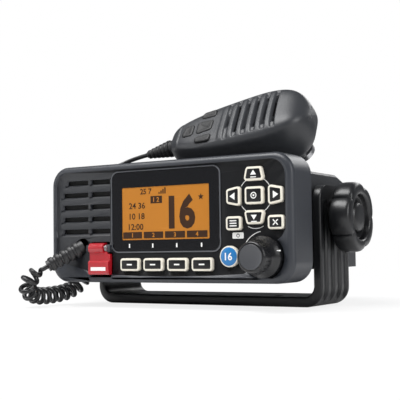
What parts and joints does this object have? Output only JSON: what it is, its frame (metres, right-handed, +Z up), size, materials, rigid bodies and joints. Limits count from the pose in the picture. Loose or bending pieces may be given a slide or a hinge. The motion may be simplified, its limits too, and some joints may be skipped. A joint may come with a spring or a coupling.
{
  "type": "marine vhf radio",
  "caption": "Marine VHF transceiver on a tilting yoke bracket, with keypad, dial, covered distress key and a fist microphone on a curly cord lying on top.",
  "frame": {"origin": "centre of the yoke bracket's four screw holes, on its underside", "axes": "+X to the right as the user faces the panel, +Y from the panel into the set, +Z up, away from the mounting surface"},
  "size_m": [0.182, 0.1418, 0.1245],
  "materials": {
    "bracket_black": "black, lightly grained",
    "bezel_grey": "dark blue-grey, fine grain",
    "chassis_grey": "dark grey, fine grain",
    "lens_glass": "glossy, dark tinted",
    "lcd_amber": "amber display",
    "rubber_white": "silicone",
    "board_green": "circuit board",
    "speaker_steel": "plain",
    "cloth_black": "fine cloth",
    "rubber_black": "matt",
    "plated_brass": "nickel plated",
    "white_plastic": "plain",
    "pin_steel": "plain",
    "cord_black": "smooth jacket",
    "knob_black": "black, satin",
    "cap_grey": "grey disc",
    "cover_red": "red",
    "mic_grey": "dark grey, fine grain",
    "key_cream": "pale rim with a black top",
    "key_blue": "blue top"
  },
  "bodies": {
    "bracket": {"bracket": "bracket_black", "washer_left": "rubber_black", "washer_right": "rubber_black"},
    "radio": {"front_bezel": "bezel_grey", "display_lens": "lens_glass", "lcd_module": "lcd_amber", "keypad_mat": "rubber_white", "front_board": "board_green", "speaker": "speaker_steel", "speaker_cloth": "cloth_black", "front_gasket": "rubber_black", "rear_frame": "chassis_grey", "rear_chassis": "chassis_grey", "main_board": "board_green", "antenna_socket": "plated_brass", "antenna_insulator": "white_plastic", "antenna_contact": "plated_brass", "power_gland": "rubber_black", "lead_gland": "rubber_black", "panel_boot": "rubber_black", "dial_encoder": "white_plastic", "distress_pin": "pin_steel", "distress_spring": "pin_steel", "spacer_left": "rubber_black", "spacer_right": "rubber_black", "mic_cord": "cord_black"},
    "softkey_1": {"softkey_1": "key_cream"},
    "softkey_2": {"softkey_2": "key_cream"},
    "softkey_3": {"softkey_3": "key_cream"},
    "softkey_4": {"softkey_4": "key_cream"},
    "key_up": {"key_up": "key_cream"},
    "key_down": {"key_down": "key_cream"},
    "key_left": {"key_left": "key_cream"},
    "key_right": {"key_right": "key_cream"},
    "key_enter": {"key_enter": "key_cream"},
    "key_menu": {"key_menu": "key_cream"},
    "key_clear": {"key_clear": "key_cream"},
    "key_channel": {"key_channel": "key_blue"},
    "dial_shaft": {"dial_shaft": "pin_steel"},
    "dial": {"dial_knob": "knob_black", "dial_cap": "cap_grey"},
    "distress_cover": {"distress_cover": "cover_red"},
    "distress_button": {"distress_button": "cover_red"},
    "knob_left": {"star_knob_left": "knob_black", "knob_stud_left": "pin_steel"},
    "knob_right": {"star_knob_right": "knob_black", "knob_stud_right": "pin_steel"},
    "mic": {"mic_front_shell": "mic_grey", "mic_rear_shell": "mic_grey", "mic_capsule": "speaker_steel", "mic_board": "board_green", "mic_hanger_stud": "pin_steel", "mic_boot": "rubber_black"},
    "mic_key_up": {"mic_key_up": "rubber_black"},
    "mic_key_left": {"mic_key_left": "rubber_black"},
    "mic_key_right": {"mic_key_right": "rubber_black"},
    "mic_key_down": {"mic_key_down": "rubber_black"},
    "mic_ptt": {"mic_ptt": "rubber_black"}
  },
  "joints": [
    {"name": "radio_tilt", "type": "hinge", "parent": "bracket", "child": "radio", "pos_m": [0, 0, 0.0484], "axis": [-1, 0, 0], "range_deg": [-10, 22]},
    {"name": "softkey_1_press", "type": "slide", "parent": "radio", "child": "softkey_1", "axis": [0, 1, 0], "range_m": [0, 0.0008], "stiffness_N_per_m": 300},
    {"name": "softkey_2_press", "type": "slide", "parent": "radio", "child": "softkey_2", "axis": [0, 1, 0], "range_m": [0, 0.0008], "stiffness_N_per_m": 300},
    {"name": "softkey_3_press", "type": "slide", "parent": "radio", "child": "softkey_3", "axis": [0, 1, 0], "range_m": [0, 0.0008], "stiffness_N_per_m": 300},
    {"name": "softkey_4_press", "type": "slide", "parent": "radio", "child": "softkey_4", "axis": [0, 1, 0], "range_m": [0, 0.0008], "stiffness_N_per_m": 300},
    {"name": "key_up_press", "type": "slide", "parent": "radio", "child": "key_up", "axis": [0, 1, 0], "range_m": [0, 0.0008], "stiffness_N_per_m": 300},
    {"name": "key_down_press", "type": "slide", "parent": "radio", "child": "key_down", "axis": [0, 1, 0], "range_m": [0, 0.0008], "stiffness_N_per_m": 300},
    {"name": "key_left_press", "type": "slide", "parent": "radio", "child": "key_left", "axis": [0, 1, 0], "range_m": [0, 0.0008], "stiffness_N_per_m": 300},
    {"name": "key_right_press", "type": "slide", "parent": "radio", "child": "key_right", "axis": [0, 1, 0], "range_m": [0, 0.0008], "stiffness_N_per_m": 300},
    {"name": "key_enter_press", "type": "slide", "parent": "radio", "child": "key_enter", "axis": [0, 1, 0], "range_m": [0, 0.0008], "stiffness_N_per_m": 300},
    {"name": "key_menu_press", "type": "slide", "parent": "radio", "child": "key_menu", "axis": [0, 1, 0], "range_m": [0, 0.0008], "stiffness_N_per_m": 300},
    {"name": "key_clear_press", "type": "slide", "parent": "radio", "child": "key_clear", "axis": [0, 1, 0], "range_m": [0, 0.0008], "stiffness_N_per_m": 300},
    {"name": "key_channel_press", "type": "slide", "parent": "radio", "child": "key_channel", "axis": [0, 1, 0], "range_m": [0, 0.0008], "stiffness_N_per_m": 300},
    {"name": "dial_push", "type": "slide", "parent": "radio", "child": "dial_shaft", "axis": [0, 1, 0], "range_m": [0, 0.0008], "stiffness_N_per_m": 600},
    {"name": "dial_turn", "type": "hinge", "parent": "dial_shaft", "child": "dial", "pos_m": [0.0614, -0.065, 0.0278], "axis": [0, -1, 0], "continuous": true},
    {"name": "distress_cover_lift", "type": "hinge", "parent": "radio", "child": "distress_cover", "pos_m": [-0.0431, -0.0584, 0.0333], "axis": [-1, 0, 0], "range_deg": [0, 110], "stiffness_Nm_per_rad": 0.02, "springref_deg": -17.19},
    {"name": "distress_button_press", "type": "slide", "parent": "radio", "child": "distress_button", "axis": [0, 1, 0], "range_m": [0, 0.001], "stiffness_N_per_m": 300},
    {"name": "knob_left_turn", "type": "hinge", "parent": "radio", "child": "knob_left", "pos_m": [-0.0805, 0, 0.0484], "axis": [-1, 0, 0], "continuous": true},
    {"name": "knob_right_turn", "type": "hinge", "parent": "radio", "child": "knob_right", "pos_m": [0.0805, 0, 0.0484], "axis": [1, 0, 0], "continuous": true},
    {"name": "mic_lift", "type": "slide", "parent": "radio", "child": "mic", "axis": [0, 0, 1], "range_m": [0, 0.15]},
    {"name": "mic_key_up_press", "type": "slide", "parent": "mic", "child": "mic_key_up", "axis": [0.0963, 0.788, -0.6081], "range_m": [0, 0.0008], "stiffness_N_per_m": 300},
    {"name": "mic_key_left_press", "type": "slide", "parent": "mic", "child": "mic_key_left", "axis": [0.0963, 0.788, -0.6081], "range_m": [0, 0.0008], "stiffness_N_per_m": 300},
    {"name": "mic_key_right_press", "type": "slide", "parent": "mic", "child": "mic_key_right", "axis": [0.0963, 0.788, -0.6081], "range_m": [0, 0.0008], "stiffness_N_per_m": 300},
    {"name": "mic_key_down_press", "type": "slide", "parent": "mic", "child": "mic_key_down", "axis": [0.0963, 0.788, -0.6081], "range_m": [0, 0.0008], "stiffness_N_per_m": 300},
    {"name": "mic_ptt_press", "type": "slide", "parent": "mic", "child": "mic_ptt", "axis": [0.1233, -0.6157, -0.7783], "range_m": [0, 0.0015], "stiffness_N_per_m": 400}
  ]
}
